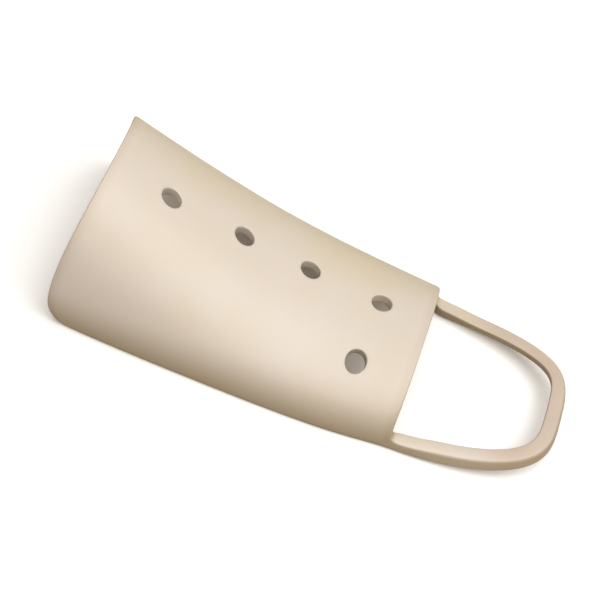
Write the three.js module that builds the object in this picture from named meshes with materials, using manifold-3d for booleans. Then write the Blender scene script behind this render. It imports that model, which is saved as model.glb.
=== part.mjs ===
import * as THREE from 'three';
import { mergeVertices } from 'three/addons/utils/BufferGeometryUtils.js';
import Module from 'manifold-3d';

const wasm = await Module();
wasm.setup();

// A moulded finger splint: an arched shell lying on its two long rims, with a fingertip loop that
// carries the lowest band of its side walls round the tip. All sizes are in millimetres.
// +X points to the fingertip, +Z up. The origin is under the middle of the whole length.

// Driving dimensions
const overallLength = 55.7;
const shellLength = 38.6;
const shellWidth = 21.7; // outside, across the rims at the fingertip end of the shell
const archHeight = 15.5; // outside, at the crest of the wide end
const wallThickness = 1.2;
const bandThickness = 1.7;
const bandHeight = 1.35;
const bandLean = 21; // degrees that the loop's band leans inward
const tipRise = 2.05; // how far the loop has risen from the table at the tip
const riseCurve = 1.5; // 1 rises in a straight line, more starts out flatter
const rimCornerRadius = 3.3; // rounded lower corners of the wide end
const crestScoop = 1.7; // how far the wide end's edge falls back at the crest
const crestSetback = 0.8; // how far the fingertip end's edge falls back at the crest
const rootFillet = 1.3; // between that edge and the loop's band
const ventDiameter = 2.3;

// Cross-sections of the shell: the place along it, the width as a share of shellWidth and the
// height as a share of archHeight
const shellSections = [
  { along: 0, width: 1.111, height: 1 },
  { along: 0.167, width: 1.129, height: 0.822 },
  { along: 0.333, width: 1.134, height: 0.663 },
  { along: 0.5, width: 1.129, height: 0.529 },
  { along: 0.667, width: 1.115, height: 0.442 },
  { along: 0.833, width: 1.08, height: 0.417 },
  { along: 1, width: 1, height: 0.461 },
];
const archSquareness = 2.5; // 2 is an ellipse, more is boxier

// Plan of the loop: a closed nose of half a superellipse
const noseSquareness = { along: 2.05, across: 3.65 };

// Vent holes: the place along the shell, the place across it as a share of the half width there,
// and how many times longer than ventDiameter the hole is across the shell
const ventHoles = [
  { along: 0.209, across: -0.036, stretch: 1 },
  { along: 0.427, across: 0.103, stretch: 1 },
  { along: 0.63, across: 0.18, stretch: 1 },
  { along: 0.848, across: 0.188, stretch: 1 },
  { along: 0.835, across: -0.53, stretch: 1.28 },
];

// How finely the curves are cut into facets
const archSteps = 36;
const lengthSteps = 22;
const noseSteps = 40;
const rootSteps = 6;
const ventSides = 20;
const cornerSteps = 7;

// Room that a cutting body has beyond what it cuts
const cutMargin = 2;

const loopReach = overallLength - shellLength;
const rootOverlap = 2 * rootFillet; // how far the band starts inside the shell's walls
const settleLength = 3 * rootOverlap; // over which the band takes on its full lean and thickness
const rootThickness = 0.8 * wallThickness; // less than the wall, so that the band starts inside it

// Smooth curve through one column of a table, by Hermite pieces
function columnAt(rows, column, along) {
  const last = rows.length - 1;
  const slope = (i) => {
    const before = rows[Math.max(i - 1, 0)];
    const after = rows[Math.min(i + 1, last)];
    return (after[column] - before[column]) / (after.along - before.along);
  };
  const piece = Math.min(Math.max(rows.findIndex((row) => row.along > along) - 1, 0), last - 1);
  const i = along >= rows[last].along ? last - 1 : piece;
  const span = rows[i + 1].along - rows[i].along;
  const t = (along - rows[i].along) / span;
  const rise = rows[i + 1][column] - rows[i][column];
  const a = slope(i) * span - rise;
  const b = rise - slope(i + 1) * span;
  return rows[i][column] + rise * t + t * (1 - t) * (a * (1 - t) + b * t);
}

// Half width on the table at a distance x from the wide end, shell and loop alike
function halfWidthAt(x) {
  if (x <= shellLength) {
    return (columnAt(shellSections, 'width', x / shellLength) * shellWidth) / 2;
  }
  const along = Math.min((x - shellLength) / loopReach, 1);
  const across = (1 - along ** noseSquareness.along) ** (1 / noseSquareness.across);
  return (shellWidth / 2) * across;
}

function archHeightAt(x) {
  return columnAt(shellSections, 'height', Math.min(x / shellLength, 1)) * archHeight;
}

function loopRiseAt(x) {
  const along = Math.max(x - shellLength, 0) / loopReach;
  return tipRise * along ** riseCurve;
}

// Point of an arched section: angle 0 is the far rim, 180 degrees the near one
function archPoint(halfWidth, height, angle) {
  const power = 2 / archSquareness;
  const across = Math.abs(Math.cos(angle)) ** power * Math.sign(Math.cos(angle));
  const up = Math.sin(angle) ** power;
  return [halfWidth * across, height * up];
}

function archSection(x, inset, floor) {
  const points = [];
  for (let i = 0; i <= archSteps; i += 1) {
    const angle = (Math.PI * i) / archSteps;
    const [y, z] = archPoint(halfWidthAt(x) - inset, archHeightAt(x) - inset, angle);
    const level = i === 0 || i === archSteps ? floor : z;
    points.push(new THREE.Vector3(x, y, level));
  }
  return points;
}

// Closed body through a row of sections that all have the same number of points
function loftGeometry(sections) {
  const count = sections[0].length;
  const positions = sections.flat().flatMap((point) => [point.x, point.y, point.z]);
  const faces = [];
  for (let s = 0; s < sections.length - 1; s += 1) {
    for (let i = 0; i < count; i += 1) {
      const a = s * count + i;
      const b = s * count + ((i + 1) % count);
      faces.push([a, b, a + count], [b, b + count, a + count]);
    }
  }
  const end = (sections.length - 1) * count;
  for (let i = 1; i < count - 1; i += 1) {
    faces.push([0, i + 1, i], [end, end + i, end + i + 1]);
  }
  const geometry = new THREE.BufferGeometry();
  geometry.setAttribute('position', new THREE.Float32BufferAttribute(positions, 3));
  geometry.setIndex(faces.flat());
  return geometry;
}

function toSolid(geometry) {
  const bare = geometry.clone();
  bare.deleteAttribute('normal');
  bare.deleteAttribute('uv');
  const merged = mergeVertices(bare, 1e-5);
  const vertProperties = new Float32Array(merged.attributes.position.array);
  const triVerts = new Uint32Array(merged.index.array);
  return new wasm.Manifold(new wasm.Mesh({ numProp: 3, vertProperties, triVerts }));
}

function toGeometry(solid) {
  const mesh = solid.getMesh();
  const geometry = new THREE.BufferGeometry();
  geometry.setAttribute('position', new THREE.Float32BufferAttribute(mesh.vertProperties, 3));
  geometry.setIndex(new THREE.BufferAttribute(mesh.triVerts, 1));
  geometry.computeVertexNormals();
  return geometry;
}

// The arch along the whole shell, a little past it at the loop's end for the fillets
function archBody(inset, floor, overrun) {
  const start = -overrun;
  const end = shellLength + rootFillet + overrun;
  const sections = [];
  for (let i = 0; i <= lengthSteps; i += 1) {
    sections.push(archSection(start + ((end - start) * i) / lengthSteps, inset, floor));
  }
  return toSolid(loftGeometry(sections));
}

// Side view of the shell, drawn in X and Z, as one closed outline
function sideOutline() {
  const top = archHeight + cutMargin;
  const outline = new THREE.Shape();
  outline.moveTo(rimCornerRadius, 0);
  outline.lineTo(shellLength + rootFillet, 0);
  outline.lineTo(shellLength + rootFillet, bandHeight);
  outline.absarc(
    shellLength + rootFillet, bandHeight + rootFillet, rootFillet, -Math.PI / 2, -Math.PI, true,
  );
  outline.lineTo(shellLength - crestSetback, top);
  outline.lineTo(crestScoop, top);
  outline.quadraticCurveTo(0, (top + rimCornerRadius) / 2, 0, rimCornerRadius);
  outline.absarc(rimCornerRadius, rimCornerRadius, rimCornerRadius, Math.PI, 1.5 * Math.PI, false);
  return outline;
}

// The side outline run across the whole width, from -Y to +Y
function sideBody() {
  const depth = 2 * shellWidth;
  const options = { depth, bevelEnabled: false, curveSegments: cornerSteps };
  const geometry = new THREE.ExtrudeGeometry(sideOutline(), options);
  geometry.rotateX(Math.PI / 2);
  geometry.translate(0, depth / 2, 0);
  return toSolid(geometry);
}

// A round cutter square to the shell's outer face
function ventCutter({ along, across, stretch }) {
  const x = along * shellLength;
  const halfWidth = halfWidthAt(x);
  const height = archHeightAt(x);
  const y = across * halfWidth;
  const heightAt = (share) => height * (1 - Math.abs(share) ** archSquareness) ** (1 / archSquareness);
  const z = heightAt(across);
  const nudge = 0.01;
  const slope = (heightAt(across + nudge) - heightAt(across - nudge)) / (2 * nudge * halfWidth);
  const outward = new THREE.Vector3(0, -slope, 1).normalize();
  const length = 4 * wallThickness;
  const geometry = new THREE.CylinderGeometry(ventDiameter / 2, ventDiameter / 2, length, ventSides);
  geometry.scale(1, 1, stretch);
  geometry.applyQuaternion(new THREE.Quaternion().setFromUnitVectors(new THREE.Vector3(0, 1, 0), outward));
  geometry.translate(x, y, z);
  return toSolid(geometry);
}

// Middle line of the loop's band in plan, from the far wall round the tip to the near wall
function loopPath() {
  const points = [];
  const start = shellLength - rootOverlap;
  for (let i = 0; i < rootSteps; i += 1) {
    const x = start + (rootOverlap * i) / rootSteps;
    points.push(new THREE.Vector2(x, halfWidthAt(x)));
  }
  for (let i = 0; i <= noseSteps / 2; i += 1) {
    const angle = (Math.PI * i) / noseSteps;
    const along = Math.sin(angle) ** (2 / noseSquareness.along);
    const across = Math.cos(angle) ** (2 / noseSquareness.across);
    points.push(new THREE.Vector2(shellLength + loopReach * along, (shellWidth / 2) * Math.max(across, 0)));
  }
  const tip = points.pop();
  const nearSide = points.map((point) => new THREE.Vector2(point.x, -point.y)).reverse();
  return [...points, new THREE.Vector2(tip.x, 0), ...nearSide];
}

// The band's section at one point of the path: outer and inner face, leaning inward
function bandSection(path, i) {
  const point = path[i];
  const before = path[Math.max(i - 1, 0)];
  const after = path[Math.min(i + 1, path.length - 1)];
  const inward = after.clone().sub(before).normalize().rotateAround(new THREE.Vector2(), -Math.PI / 2);
  const settled = Math.min(Math.max((point.x - shellLength + rootOverlap) / settleLength, 0), 1);
  const thickness = rootThickness + (bandThickness - rootThickness) * settled;
  const buried = ((1 - settled) * (wallThickness - rootThickness)) / 2;
  const lean = Math.tan(THREE.MathUtils.degToRad(bandLean)) * bandHeight * settled;
  const floor = loopRiseAt(point.x);
  const corner = (inset, z) => {
    const place = point.clone().addScaledVector(inward, inset);
    return new THREE.Vector3(place.x, place.y, z);
  };
  return [
    corner(buried, floor),
    corner(buried + lean, floor + bandHeight),
    corner(buried + thickness + lean, floor + bandHeight),
    corner(buried + thickness, floor),
  ];
}

function loopBody() {
  const path = loopPath();
  const sections = path.map((point, i) => bandSection(path, i));
  return toSolid(loftGeometry(sections));
}

function shellBody() {
  const outer = archBody(0, 0, cutMargin);
  const inner = archBody(wallThickness, -cutMargin, 2 * cutMargin);
  const shell = outer.subtract(inner).intersect(sideBody());
  return ventHoles.reduce((body, vent) => body.subtract(ventCutter(vent)), shell);
}

const beigePlastic = new THREE.MeshStandardMaterial({ color: 0xe8d9c2, roughness: 0.42, metalness: 0 });

function splintShell() {
  const geometry = toGeometry(shellBody().add(loopBody()));
  const mesh = new THREE.Mesh(geometry, beigePlastic);
  mesh.name = 'splint_shell';
  mesh.position.x = -overallLength / 2;
  return mesh;
}

const splint = new THREE.Group();
splint.add(splintShell());

export default splint;
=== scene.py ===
from math import cos, pi, radians, sin, sqrt, tan

import bmesh
import bpy
import numpy as np
from mathutils import Matrix, Vector


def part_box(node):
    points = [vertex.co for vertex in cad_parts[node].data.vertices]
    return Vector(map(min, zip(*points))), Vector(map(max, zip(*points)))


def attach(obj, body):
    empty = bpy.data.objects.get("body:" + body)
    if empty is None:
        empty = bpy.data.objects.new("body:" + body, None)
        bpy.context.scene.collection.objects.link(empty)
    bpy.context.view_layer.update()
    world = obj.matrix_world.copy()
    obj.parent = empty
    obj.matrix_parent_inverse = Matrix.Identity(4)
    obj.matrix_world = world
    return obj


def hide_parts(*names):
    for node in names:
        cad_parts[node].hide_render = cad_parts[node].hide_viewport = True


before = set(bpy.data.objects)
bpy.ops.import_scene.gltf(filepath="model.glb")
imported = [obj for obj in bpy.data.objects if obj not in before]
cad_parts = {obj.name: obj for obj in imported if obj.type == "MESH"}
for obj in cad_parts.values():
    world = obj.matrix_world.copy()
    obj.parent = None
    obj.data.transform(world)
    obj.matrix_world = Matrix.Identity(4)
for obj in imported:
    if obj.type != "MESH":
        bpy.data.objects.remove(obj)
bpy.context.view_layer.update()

lowCorner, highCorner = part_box("splint_shell")
mm = 0.001
print("frame loaded")

# The arched shell, lying on its two long rims. Lengths are in millimetres, and stations along it
# are counted from the wide end
shell = {
    "length": 38.6,
    "width": 21.7,  # outside, across the rims where the loop starts
    "height": 15.5,  # outside, at the crest of the wide end
    "wall": 1.2,
    "squareness": 2.5,  # of the arch: 2 is an ellipse, more is boxier
    "cornerRadius": 3.3,  # lower corners of the wide end
    "cornerStart": 2.2,  # station where the rounded corner meets the rim's first row
    "scoop": 1.7,  # how far the wide end's edge falls back at the crest
    "setback": 0.8,  # how far the other end's edge falls back at the crest
    "edgeTop": 17.5,  # height at which scoop and setback are measured
    "fillet": 0.8,  # between that edge and the loop's band
    "filletRun": 4.0,  # length over which the band's top row bends up to the fillet
    "sections": [  # share of the length, share of the width, share of the height
        (0.0, 1.111, 1.0),
        (0.167, 1.129, 0.822),
        (0.333, 1.134, 0.663),
        (0.5, 1.129, 0.529),
        (0.667, 1.115, 0.442),
        (0.833, 1.08, 0.417),
        (1.0, 1.0, 0.461),
    ],
}

# The loop that carries the lowest band of the side walls round the fingertip
loop = {
    "reach": (highCorner.x - lowCorner.x) / mm - shell["length"],
    "noseAlong": 2.05,
    "noseAcross": 3.65,
    "bandHeight": 1.35,
    "bandThickness": 1.7,
    "lean": 21,  # degrees inward
    "rise": 2.05,  # of the tip above the table
    "riseCurve": 1.5,
    "settle": 5.2,  # length over which the wall's side takes on the band's lean
    "thicken": 2.2,  # length over which the wall takes on the band's thickness
    "blend": 1.2,  # reach of the smoothing where shell and loop meet
    "blendWeights": {-1: 1, -0.5: 3, 0: 4, 0.5: 3, 1: 1},  # by share of that reach
}

# Vent holes: share of the length, share of the half width, and how much longer across than along
vents = {
    "diameter": 2.3,
    "places": [
        (0.209, -0.036, 1.0),
        (0.427, 0.103, 1.0),
        (0.63, 0.18, 1.0),
        (0.848, 0.188, 1.0),
        (0.835, -0.53, 1.28),
    ],
    "lip": 0.4,  # width of the ring of faces round each hole
}

# How the skin is divided before it is smoothed
grid = {
    "columns": 32,
    "sideLevels": [0, loop["bandHeight"] / 2, loop["bandHeight"], loop["bandHeight"] + 1],  # lowest rows
    "bandRows": 3,  # those of them that run on round the loop
    "archRows": 9,  # from the highest of them up to the crest, on each side
    "bandColumns": 40,
    "block": 2,  # cells on each side of a vent that its rings take over
    "fade": 4.4,  # cells over which the grid settles back round a vent
    "archSteps": 260,  # points on half an arch, from which lengths along it are read
    "routeSteps": 900,  # points on half the loop, for the same
    "rounds": 7,  # of closing in on a station
}
lowRows = len(grid["sideLevels"]) - 1
crestRow = lowRows + grid["archRows"]

# Rounded edges: the vents' are only a share as round as the rims'
edges = {"rimRadius": 0.3, "ventShare": 0.45, "segments": 2, "smoothing": 2}


def columnAt(column, along):
    # smooth curve through one column of the section table, by Hermite pieces
    rows = shell["sections"]
    last = len(rows) - 1
    piece = next((i for i in range(last) if along < rows[i + 1][0]), last - 1)

    def slope(i):
        before, after = rows[max(i - 1, 0)], rows[min(i + 1, last)]
        return (after[column] - before[column]) / (after[0] - before[0])

    span = rows[piece + 1][0] - rows[piece][0]
    rise = rows[piece + 1][column] - rows[piece][column]
    startPull = slope(piece) * span - rise
    endPull = rise - slope(piece + 1) * span
    t = (along - rows[piece][0]) / span
    bend = t * (1 - t) * (startPull * (1 - t) + endPull * t)
    return rows[piece][column] + rise * t + bend


def plainHalfWidth(x):
    if x <= shell["length"]:
        return columnAt(1, x / shell["length"]) * shell["width"] / 2
    along = min((x - shell["length"]) / loop["reach"], 1)
    return shell["width"] / 2 * (1 - along ** loop["noseAlong"]) ** (1 / loop["noseAcross"])


def halfWidthAt(x):
    # a weighted mean, so that the walls run on into the loop without a corner
    if abs(x - shell["length"]) > 2 * loop["blend"]:
        return plainHalfWidth(x)
    weights = loop["blendWeights"]
    total = sum(weight * plainHalfWidth(x + share * loop["blend"]) for share, weight in weights.items())
    return total / sum(weights.values())


def heightAt(x):
    return columnAt(2, min(x / shell["length"], 1)) * shell["height"]


def fadeTo(value):
    t = min(max(value, 0), 1)
    return t * t * (3 - 2 * t)


def cornerInset(reach):
    # how far the wide end's rounded lower corner stands in from one edge, by the place along the other
    radius = shell["cornerRadius"]
    return radius - sqrt(radius ** 2 - (radius - reach) ** 2)


def wideEdge(z):
    # station of the wide end's edge at height z
    radius = shell["cornerRadius"]
    if z < radius:
        return cornerInset(z)
    return shell["scoop"] * ((z - radius) / (shell["edgeTop"] - radius)) ** 2


def loopEdge(z):
    # station of the edge at the loop's end, with the fillet under it
    radius = shell["fillet"]
    floor = loop["bandHeight"] + radius
    middle = shell["length"] + radius - radius * cos(pi / 4)
    if z >= floor:
        return shell["length"] - shell["setback"] * (z - floor) / (shell["edgeTop"] - floor)
    return min(middle, shell["length"] + radius - sqrt(max(radius ** 2 - (floor - z) ** 2, 0)))


class Section:
    # half an arched section: y and z by the length walked down from the crest
    known = {}

    def __init__(self, x):
        angles = np.linspace(pi / 2, 0, grid["archSteps"])
        power = 2 / shell["squareness"]
        self.halfWidth = halfWidthAt(x)
        self.height = heightAt(x)
        self.y = self.halfWidth * np.abs(np.cos(angles)) ** power
        self.z = self.height * np.sin(angles) ** power
        steps = np.hypot(np.diff(self.y), np.diff(self.z))
        self.walked = np.concatenate([[0], np.cumsum(steps)])

    def atLength(self, walked):
        y = np.interp(abs(walked), self.walked, self.y)
        z = np.interp(abs(walked), self.walked, self.z)
        return (y if walked >= 0 else -y), z

    def lengthAtHeight(self, z):
        return np.interp(-z, -self.z, self.walked)

    def lengthAtSide(self, y):
        return np.interp(abs(y), self.y, self.walked) * (1 if y >= 0 else -1)

    def outward(self, y, z):
        # direction square to the section, in its own plane
        power = shell["squareness"]
        across = abs(y / self.halfWidth) ** (power - 1) / self.halfWidth
        up = (max(z, 0) / self.height) ** (power - 1) / self.height
        return Vector((0, across if y >= 0 else -across, up)).normalized()


def sectionAt(x):
    key = round(x, 3)
    if key not in Section.known:
        Section.known[key] = Section(key)
    return Section.known[key]


def walkedAt(section, row):
    # length down from the crest at a row, whole or not, positive on the far side
    levels = grid["sideLevels"]
    side = 1 if row <= crestRow else -1
    up = row if side == 1 else 2 * crestRow - row
    if up >= lowRows:
        top = section.lengthAtHeight(levels[-1])
        return side * top * (crestRow - up) / grid["archRows"]
    return side * section.lengthAtHeight(np.interp(up, range(len(levels)), levels))


def stationOf(row, column):
    # station along the shell for a grid place, found in a few rounds as the edges aren't upright
    share = column / grid["columns"]
    isRimRow = min(row, 2 * crestRow - row) < 0.5
    x = share * shell["length"]
    for _ in range(grid["rounds"]):
        section = sectionAt(x)
        z = section.atLength(walkedAt(section, row))[1]
        start = shell["cornerStart"] if isRimRow else wideEdge(z)
        x = start + share * (loopEdge(z) - start)
    return x


def gridPlace(x, walked):
    # the row and column, as fractions, that a place on the arch falls on
    section = sectionAt(x)
    top = section.lengthAtHeight(grid["sideLevels"][-1])
    row = crestRow - grid["archRows"] * walked / top
    z = section.atLength(walked)[1]
    column = grid["columns"] * (x - wideEdge(z)) / (loopEdge(z) - wideEdge(z))
    return row, column


class Skin:
    # outer and inner vertices side by side, and the faces of the outer skin
    def __init__(self):
        self.outer = []
        self.inner = []
        self.faces = []
        self.ventEdge = set()

    def add(self, outer, inner):
        self.outer.append(Vector(outer))
        self.inner.append(Vector(inner))
        return len(self.outer) - 1

    def addOnArch(self, x, walked, inward=None):
        section = sectionAt(x)
        y, z = section.atLength(walked)
        normal = inward or -section.outward(y, z)
        place = Vector((x, y, z))
        return self.add(place, place + normal * shell["wall"])


def ventCentres():
    centres = []
    for along, across, stretch in vents["places"]:
        x = along * shell["length"]
        section = sectionAt(x)
        walked = section.lengthAtSide(across * section.halfWidth)
        row, column = gridPlace(x, walked)
        centres.append({"x": x, "walked": walked, "stretch": stretch, "row": row, "column": column})
    return centres


def warpedPlace(row, column, centres):
    # the grid gives way a little, so that one of its corners lies at the middle of each vent
    newRow, newColumn = row, column
    for centre in centres:
        cornerRow, cornerColumn = round(centre["row"]), round(centre["column"])
        away = max(abs(row - cornerRow), abs(column - cornerColumn))
        hold = 1 - fadeTo((away - grid["block"]) / (grid["fade"] - grid["block"]))
        newRow += hold * (centre["row"] - cornerRow)
        newColumn += hold * (centre["column"] - cornerColumn)
    return newRow, newColumn


def isInVent(row, column, centres):
    reach = grid["block"]
    return any(
        abs(row - round(centre["row"])) < reach and abs(column - round(centre["column"])) < reach
        for centre in centres
    )


def addOnSide(skin, x, low, side):
    # a place on one of the low rows, where the wall goes straight in
    z = grid["sideLevels"][low]
    if low == 0 and x < shell["cornerRadius"]:
        z = cornerInset(x)
    if low == grid["bandRows"] - 1:  # the row bends up to the middle of the fillet
        rise = loop["bandHeight"] + shell["fillet"] * (1 - sin(pi / 4))
        z += (rise - z) * fadeTo(1 - (loopEdge(0) - x) / shell["filletRun"]) ** 2
    section = sectionAt(x)
    y = section.atLength(side * section.lengthAtHeight(z))[0]
    place = Vector((x, y, z))
    return skin.add(place, place - Vector((0, side * shell["wall"], 0)))


def layShellGrid(skin, centres):
    # from the far rim, row 0, over the crest to the near one
    cells = {}
    for row in range(2 * crestRow + 1):
        low = min(row, 2 * crestRow - row)
        side = 1 if row < crestRow else -1
        for column in range(grid["columns"] + 1):
            if isInVent(row, column, centres):
                continue
            warpedRow, warpedColumn = warpedPlace(row, column, centres)
            x = stationOf(warpedRow, warpedColumn)
            if low >= lowRows:
                cells[row, column] = skin.addOnArch(x, walkedAt(sectionAt(x), warpedRow))
            else:
                cells[row, column] = addOnSide(skin, x, low, side)
    return cells


def faceShellGrid(skin, cells):
    for row in range(2 * crestRow):
        for column in range(grid["columns"]):
            corners = [(row, column), (row + 1, column), (row + 1, column + 1), (row, column + 1)]
            if all(corner in cells for corner in corners):
                skin.faces.append([cells[corner] for corner in corners])


def blockBorder(centre):
    # the grid places round the square block that a vent takes up, side by side
    reach = grid["block"]
    places = []
    for side in range(4):
        for step in range(2 * reach):
            along, across = reach, step - reach
            for _ in range(side):
                along, across = -across, along
            places.append((round(centre["row"]) + across, round(centre["column"]) + along))
    return places


def flattened(place):
    # a place on the arch, unrolled to its station and its length from the crest
    walked = sectionAt(place.x).lengthAtHeight(place.z)
    return Vector((place.x, walked if place.y >= 0 else -walked, 0))


def ringVent(skin, cells, centre):
    # rings from the round hole out to the block's border
    border = [cells[place] for place in blockBorder(centre)]
    flat = [flattened(skin.outer[index]) for index in border]
    count = len(border)
    middle = Vector((centre["x"], centre["walked"], 0))
    turn = -1 if flat[0].y > middle.y else 1  # rows run from the far side to the near one
    radius = vents["diameter"] / 2
    section = sectionAt(centre["x"])
    axis = -section.outward(*section.atLength(centre["walked"]))
    rings = [[], [], []]
    for i in range(count):
        angle = 2 * pi * i / count - pi / 4
        across = turn * radius * centre["stretch"] * sin(angle)
        hole = middle + Vector((radius * cos(angle), across, 0))
        out = flat[i] - hole
        lip = vents["lip"] / out.length
        for ring, share in zip(rings, (0, lip, (1 + lip) / 2)):
            place = hole + out * share
            ring.append(skin.addOnArch(place.x, place.y, None if share else axis))
    skin.ventEdge.update(rings[0])
    rings.append(border)
    for near, far in zip(rings, rings[1:]):
        for i in range(count):
            after = (i + 1) % count
            skin.faces.append([near[i], near[after], far[after], far[i]])


def loopRoute():
    # plan of the loop, from the far wall round the tip to the near wall, in even steps
    start = shell["length"] + shell["fillet"]
    fine = []
    for angle in np.linspace(0, pi / 2, grid["routeSteps"]):
        x = shell["length"] + loop["reach"] * sin(angle) ** (2 / loop["noseAlong"])
        if x >= start:
            across = max(cos(angle), 0) ** (2 / loop["noseAcross"])
            isNearShell = x < shell["length"] + 2 * loop["blend"]
            fine.append((x, halfWidthAt(x) if isNearShell else shell["width"] / 2 * across))
    fine = np.array([(start, halfWidthAt(start))] + fine)
    walked = np.concatenate([[0], np.cumsum(np.hypot(*np.diff(fine, axis=0).T))])
    half = grid["bandColumns"] // 2
    steps = np.linspace(0, walked[-1], half + 1)
    stations = np.interp(steps, walked, fine[:, 0])
    widths = np.interp(steps, walked, fine[:, 1])
    farHalf = [Vector((x, y, 0)) for x, y in zip(stations, widths)]
    farHalf[-1].y = 0
    nearHalf = [Vector((place.x, -place.y, 0)) for place in farHalf[-2::-1]]
    return farHalf + nearHalf


def addBandColumn(skin, place, inward):
    # up the band's outer side at a place of its route, turning from the wall's lean to its own
    past = place.x - shell["length"]
    settled = fadeTo((past - shell["fillet"]) / loop["settle"])
    thickened = fadeTo((past + loop["blend"]) / loop["thicken"])
    thickness = shell["wall"] + (loop["bandThickness"] - shell["wall"]) * thickened
    floor = loop["rise"] * (past / loop["reach"]) ** loop["riseCurve"] if settled > 0 else 0
    wall = sectionAt(min(place.x, shell["length"] + shell["fillet"]))
    column = []
    for level in grid["sideLevels"][:grid["bandRows"]]:
        wallInset = wall.halfWidth - wall.atLength(wall.lengthAtHeight(level))[0]
        inset = wallInset + (level * tan(radians(loop["lean"])) - wallInset) * settled
        outer = place + inward * inset + Vector((0, 0, floor + level))
        column.append(skin.add(outer, outer + inward * thickness))
    return column


def layLoop(skin, cells):
    route = loopRoute()
    last = len(route) - 1
    bandRows = range(grid["bandRows"])
    columns = [[cells[row, grid["columns"]] for row in bandRows]]
    for i, place in enumerate(route):
        forward = (route[min(i + 1, last)] - route[max(i - 1, 0)]).normalized()
        columns.append(addBandColumn(skin, place, Vector((forward.y, -forward.x, 0))))
    columns.append([cells[2 * crestRow - row, grid["columns"]] for row in bandRows])
    for left, right in zip(columns, columns[1:]):
        for row in bandRows[1:]:
            skin.faces.append([left[row - 1], left[row], right[row], right[row - 1]])


def closeSkin(skin):
    # the inner skin is the outer one turned over, and the rims join them
    mesh = bmesh.new()
    weight = mesh.edges.layers.float.new("bevel_weight_edge")
    insideOf = mesh.verts.layers.float.new("inside")
    rimOf = mesh.verts.layers.float.new("rim")
    toRow = Vector((lowCorner.x, 0, 0))
    outer = [mesh.verts.new(place * mm + toRow) for place in skin.outer]
    inner = [mesh.verts.new(place * mm + toRow) for place in skin.inner]
    sides = {}  # the sides of all faces, in order: one that no face has the other way round is a border
    for face in skin.faces:
        mesh.faces.new([outer[i] for i in face])
        mesh.faces.new([inner[i] for i in reversed(face)])
        sides.update(dict.fromkeys(zip(face, face[1:] + face[:1])))
    for a, b in sides:
        if (b, a) in sides:
            continue
        mesh.faces.new([outer[b], outer[a], inner[a], inner[b]])
        share = edges["ventShare"] if a in skin.ventEdge else 1
        for skinSide in (outer, inner):
            mesh.edges.get((skinSide[a], skinSide[b]))[weight] = share
            skinSide[a][rimOf] = share
    for vertex in inner:
        vertex[insideOf] = 1
    bmesh.ops.recalc_face_normals(mesh, faces=mesh.faces)
    return mesh


def makeShell():
    skin = Skin()
    centres = ventCentres()
    cells = layShellGrid(skin, centres)
    faceShellGrid(skin, cells)
    for centre in centres:
        ringVent(skin, cells, centre)
    layLoop(skin, cells)
    mesh = closeSkin(skin)
    loose = [vertex for vertex in mesh.verts if not vertex.link_faces]
    bmesh.ops.delete(mesh, geom=loose, context="VERTS")
    data = bpy.data.meshes.new("mouldedShell")
    mesh.to_mesh(data)
    mesh.free()
    data.polygons.foreach_set("use_smooth", [True] * len(data.polygons))
    piece = bpy.data.objects.new("moulded_shell", data)
    bpy.context.scene.collection.objects.link(piece)
    bevel = piece.modifiers.new("rims", "BEVEL")
    bevel.limit_method = "WEIGHT"
    bevel.width = edges["rimRadius"] * mm
    bevel.segments = edges["segments"]
    bevel.use_clamp_overlap = False
    smooth = piece.modifiers.new("smoothing", "SUBSURF")
    smooth.levels = edges["smoothing"]
    smooth.render_levels = edges["smoothing"]
    return piece


mouldedShell = makeShell()
print("shell made,", len(mouldedShell.data.polygons), "faces before smoothing")


class Wire:
    # a socket of a node tree, so that shader sums read as plain sums
    def __init__(self, tree, socket=None):
        self.tree = tree
        self.socket = socket

    def node(self, kind, settings, inputs, output=0):
        made = self.tree.nodes.new(kind)
        for name, value in settings.items():
            setattr(made, name, value)
        for name, value in inputs.items():
            if isinstance(value, Wire):
                self.tree.links.new(value.socket, made.inputs[name])
            else:
                made.inputs[name].default_value = value
        return Wire(self.tree, made.outputs[output])

    def sum(self, operation, first, second):
        return self.node("ShaderNodeMath", {"operation": operation}, {0: first, 1: second})

    def __add__(self, other):
        return self.sum("ADD", self, other)

    def __radd__(self, other):
        return self.sum("ADD", other, self)

    def __sub__(self, other):
        return self.sum("SUBTRACT", self, other)

    def __rsub__(self, other):
        return self.sum("SUBTRACT", other, self)

    def __mul__(self, other):
        return self.sum("MULTIPLY", self, other)

    def __rmul__(self, other):
        return self.sum("MULTIPLY", other, self)


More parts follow.
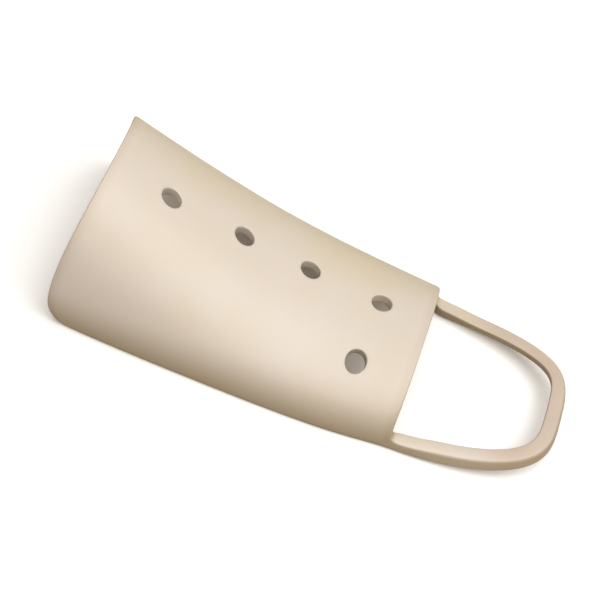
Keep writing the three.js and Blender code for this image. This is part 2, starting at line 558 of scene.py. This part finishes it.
# The plastic. Shares say how much of a tone is laid over the cream, and sizes are in millimetres
plastic = {
    "cream": (0.645, 0.565, 0.49, 1),
    "warm": (0.62, 0.525, 0.38, 1),  # where it is a little yellower: in random clouds, and mostly on the far side as painted shade
    "warmShare": 0.2,
    "warmByCloud": 1.4,
    "warmBySpeck": 0.25,
    # painted shade: the far side takes more of the warm tone
    "paintedShadeOnFarSide": 0.6,
    "farSideReach": 9.0,  # from the middle line
    "rim": (0.36, 0.275, 0.165, 1),  # brown of the edges, and the shade painted in as the picture has it
    "rimShare": 0.25,
    # painted shade on the inner skin, in the edges' brown
    "paintedInsideShade": 0.12,
    "lowShade": 5.5,  # height over which the walls are shaded towards the table
    "lowShare": 0.85,  # 0 here and at steepShare takes the painted shade away
    "steepFrom": (0.35, 0.9),  # how level a face of the loop has to be to stay free of painted shade
    "steepShare": 0.8,
    "loopFade": 1.0,  # on each side of where the loop starts
    "paintedTipShade": (0.5, 0.385, 0.3, 1),  # painted shade, darker round the tip of the loop and along its far leg
    "paintedTipShadeShare": 0.35,
    "paintedTipShadeByCloud": 0.5,
    "paintedTipShadeFrom": 15.0,  # from the middle, skewed towards the far leg
    "paintedTipShadeTo": 22.0,
    "paintedTipShadeSkew": 0.35,
    "cloudSize": 9.0,
    "speckSize": 0.35,
    "grainSize": 0.16,
    "grainDepth": 0.004,
    "grainStrength": 0.35,
    "cloudDepth": 0.5,  # of the clouds in the grain's bump
    "roughness": 0.42,
    "roughBySpeck": 0.12,
    "roughByCloud": 0.1,
    "roughInside": 0.06,
    "refraction": 1.48,
    "scatter": 0.18,
    "scatterReach": 1.2,
    "scatterTint": (1.0, 0.6, 0.35),
}


def noise(wire, place, size, detail=3.0, roughness=0.55):
    return wire.node(
        "ShaderNodeTexNoise",
        {"noise_dimensions": "3D"},
        {"Vector": place, "Scale": 1 / (size * mm), "Detail": detail, "Roughness": roughness},
        "Fac",
    )


def mixColour(wire, share, first, second):
    return wire.node(
        "ShaderNodeMix",
        {"data_type": "RGBA", "clamp_factor": True},
        {"Factor": share, 6: first, 7: second},
        2,
    )


def ramp(wire, place, direction, start, end, unit=mm):
    # rises from 0 to 1 along a direction, between two distances or, with unit 1, between two slopes
    along = wire.node(
        "ShaderNodeVectorMath", {"operation": "DOT_PRODUCT"}, {0: place, 1: direction}, "Value"
    )
    return wire.node(
        "ShaderNodeMapRange",
        {"interpolation_type": "SMOOTHSTEP"},
        {"Value": along, "From Min": start * unit, "From Max": end * unit},
        "Result",
    )


def beigePlastic():
    material = bpy.data.materials.new("satinBeigePlastic")
    material.use_nodes = True
    tree = material.node_tree
    shader = tree.nodes["Principled BSDF"]
    wire = Wire(tree)
    place = wire.node("ShaderNodeTexCoord", {}, {}, "Object")
    rim = wire.node("ShaderNodeAttribute", {"attribute_name": "rim"}, {}, "Fac")
    inside = wire.node("ShaderNodeAttribute", {"attribute_name": "inside"}, {}, "Fac")
    cloud = noise(wire, place, plastic["cloudSize"])
    speck = noise(wire, place, plastic["speckSize"], detail=2.0)
    grain = noise(wire, place, plastic["grainSize"], detail=2.0)
    # painted shade: the far side a little yellower and darker
    paintedFarSideShade = ramp(wire, place, (0, 1, 0), 0, plastic["farSideReach"])
    # painted shade: darker round the tip of the loop and along its far leg
    skewed = (1, plastic["paintedTipShadeSkew"], 0)
    paintedTipShade = ramp(wire, place, skewed, plastic["paintedTipShadeFrom"], plastic["paintedTipShadeTo"])
    warmth = (cloud - 0.5) * plastic["warmByCloud"] + (speck - 0.5) * plastic["warmBySpeck"]
    warmth = warmth + paintedFarSideShade * plastic["paintedShadeOnFarSide"] + plastic["warmShare"]
    body = mixColour(wire, warmth, plastic["cream"], plastic["warm"])
    paintedTipShadeShare = paintedTipShade * (cloud * plastic["paintedTipShadeByCloud"] + plastic["paintedTipShadeShare"])
    body = mixColour(wire, paintedTipShadeShare, body, plastic["paintedTipShade"])
    loopStart = lowCorner.x / mm + shell["length"]
    fade = plastic["loopFade"]
    shellPart = 1 - ramp(wire, place, (1, 0, 0), loopStart - fade, loopStart + fade)
    # painted shade: the shell's walls darker towards the table
    low = 1 - ramp(wire, place, (0, 0, 1), 0, plastic["lowShade"])
    # painted shade: the loop's steeper faces darker
    facing = wire.node("ShaderNodeTexCoord", {}, {}, "Normal")
    paintedSteepShade = 1 - ramp(wire, facing, (0, 0, 1), *plastic["steepFrom"], unit=1)
    # brown on the edges, and painted shade on the inner skin, the low walls and the loop's steep faces
    brown = rim * shellPart * plastic["rimShare"] + inside * plastic["paintedInsideShade"]
    brown = brown + low * shellPart * plastic["lowShare"]
    brown = brown + paintedSteepShade * (1 - shellPart) * plastic["steepShare"]
    colour = mixColour(wire, brown, body, plastic["rim"])
    wire.tree.links.new(colour.socket, shader.inputs["Base Color"])
    rough = (speck - 0.5) * plastic["roughBySpeck"] + (cloud - 0.5) * plastic["roughByCloud"]
    rough = rough + inside * plastic["roughInside"] + plastic["roughness"]
    wire.tree.links.new(rough.socket, shader.inputs["Roughness"])
    bump = wire.node(
        "ShaderNodeBump",
        {},
        {
            "Strength": plastic["grainStrength"],
            "Distance": plastic["grainDepth"] * mm,
            "Height": grain + cloud * plastic["cloudDepth"],
        },
        "Normal",
    )
    wire.tree.links.new(bump.socket, shader.inputs["Normal"])
    shader.inputs["IOR"].default_value = plastic["refraction"]
    shader.inputs["Subsurface Weight"].default_value = plastic["scatter"]
    shader.inputs["Subsurface Radius"].default_value = plastic["scatterTint"]
    shader.inputs["Subsurface Scale"].default_value = plastic["scatterReach"] * mm
    return material


mouldedShell.data.materials.append(beigePlastic())
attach(mouldedShell, "root")
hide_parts("splint_shell")
print("plastic finished")

# The studio: a white floor, a warm dim surround before a near-white backdrop, and three large soft
# lights from above. Sizes and places are in metres, powers in watts
studio = {
    "floorSize": 3.0,
    "floorColour": (0.94, 0.94, 0.94, 1),
    "floorShade": (0.92, 0.92, 0.92, 1),
    "fibreSize": 1.5,  # of the paper, in millimetres
    "floorRoughness": 0.9,
    "floorSheen": 0.1,
    "floorLift": 0.13,  # keeps the shadows pale, as on a white cut-out
    "liftColour": (0.94, 0.78, 0.6, 1),
    "bounceColour": (0.55, 0.5, 0.44, 1),
    "surround": 0.12,
    "surroundColour": (1.0, 0.9, 0.72, 1),  # a little warm, as the shaded side is
    "backdropColour": (0.97, 0.97, 0.97, 1),
    "lights": {
        "keyLight": {"place": (-0.12, 0.2, 0.74), "size": 0.8, "power": 2.2},
        "sideLight": {"place": (0.36, 0.0, 0.67), "size": 0.8, "power": 4.25},
        "fillLight": {"place": (-0.1, -0.44, 0.56), "size": 0.8, "power": 2.9},
    },
}


def layFloor():
    data = bpy.data.meshes.new("studioFloor")
    half = studio["floorSize"] / 2
    corners = [(-half, -half, 0), (half, -half, 0), (half, half, 0), (-half, half, 0)]
    data.from_pydata(corners, [], [(0, 1, 2, 3)])
    floor = bpy.data.objects.new("studio_floor", data)
    bpy.context.scene.collection.objects.link(floor)
    material = bpy.data.materials.new("palePaper")
    material.use_nodes = True
    shader = material.node_tree.nodes["Principled BSDF"]
    wire = Wire(material.node_tree)
    place = wire.node("ShaderNodeTexCoord", {}, {}, "Object")
    fibre = noise(wire, place, studio["fibreSize"], detail=4.0)
    colour = mixColour(wire, fibre, studio["floorColour"], studio["floorShade"])
    wire.tree.links.new(colour.socket, shader.inputs["Base Color"])
    shader.inputs["Roughness"].default_value = studio["floorRoughness"]
    shader.inputs["Specular IOR Level"].default_value = studio["floorSheen"]
    shader.inputs["Emission Color"].default_value = studio["liftColour"]
    shader.inputs["Emission Strength"].default_value = studio["floorLift"]
    # it looks white, but throws back only a part of the light, so the near faces keep their shade
    dull = wire.node("ShaderNodeBsdfDiffuse", {}, {"Color": studio["bounceColour"]})
    seen = wire.node("ShaderNodeLightPath", {}, {}, "Is Camera Ray")
    white = Wire(wire.tree, shader.outputs["BSDF"])
    mixed = wire.node("ShaderNodeMixShader", {}, {0: seen, 1: dull, 2: white})
    output = material.node_tree.nodes["Material Output"]
    wire.tree.links.new(mixed.socket, output.inputs["Surface"])
    data.materials.append(material)


def hangLight(name, settings):
    data = bpy.data.lights.new(name, "AREA")
    data.shape = "DISK"
    data.size = settings["size"]
    data.energy = settings["power"]
    light = bpy.data.objects.new(name, data)
    bpy.context.scene.collection.objects.link(light)
    light.location = settings["place"]
    light.rotation_euler = (-Vector(settings["place"])).to_track_quat("-Z", "Y").to_euler()


def lightStudio():
    world = bpy.data.worlds.new("studioSurround")
    world.use_nodes = True
    wire = Wire(world.node_tree)
    glow = wire.node(
        "ShaderNodeBackground", {}, {"Color": studio["surroundColour"], "Strength": studio["surround"]}
    )
    backdrop = wire.node("ShaderNodeBackground", {}, {"Color": studio["backdropColour"]})
    seen = wire.node("ShaderNodeLightPath", {}, {}, "Is Camera Ray")
    mixed = wire.node("ShaderNodeMixShader", {}, {0: seen, 1: glow, 2: backdrop})
    output = world.node_tree.nodes["World Output"]
    wire.tree.links.new(mixed.socket, output.inputs["Surface"])
    bpy.context.scene.world = world
    for name, settings in studio["lights"].items():
        hangLight(name, settings)


layFloor()
lightStudio()
print("studio ready")

# The camera, as the picture was taken: degrees and millimetres. It looks at a station along the
# splint, a little to the far side, at a height
camera = {
    "elevation": 49.383,
    "azimuth": -1.503,
    "roll": 23.564,
    "distance": 199.981,
    "lens": 111.78,
    "station": 24.498,
    "side": 0.232,
    "height": 4.0,
    "sensor": 36,
    "clip": 10,  # nothing nearer shows
}


def placeCamera():
    elevation, azimuth, roll = (radians(camera[name]) for name in ("elevation", "azimuth", "roll"))
    level = cos(elevation)
    back = Vector((sin(azimuth) * level, -cos(azimuth) * level, sin(elevation)))
    right = Vector((cos(azimuth), sin(azimuth), 0))
    up = right.cross(-back)
    axisX = right * cos(roll) + up * sin(roll)
    axisY = up * cos(roll) - right * sin(roll)
    target = Vector((camera["station"], camera["side"], camera["height"])) * mm
    place = target + Vector((lowCorner.x, 0, 0)) + back * camera["distance"] * mm
    data = bpy.data.cameras.new("pictureCamera")
    data.sensor_width = camera["sensor"]
    data.lens = camera["lens"]
    data.clip_start = camera["clip"] * mm
    view = bpy.data.objects.new("pictureCamera", data)
    bpy.context.scene.collection.objects.link(view)
    turned = Matrix((axisX, axisY, back)).transposed().to_4x4()
    view.matrix_world = Matrix.Translation(place) @ turned
    bpy.context.scene.camera = view


placeCamera()
bpy.context.scene.view_settings.view_transform = "Standard"
bpy.context.scene.view_settings.look = "None"
print("camera placed")
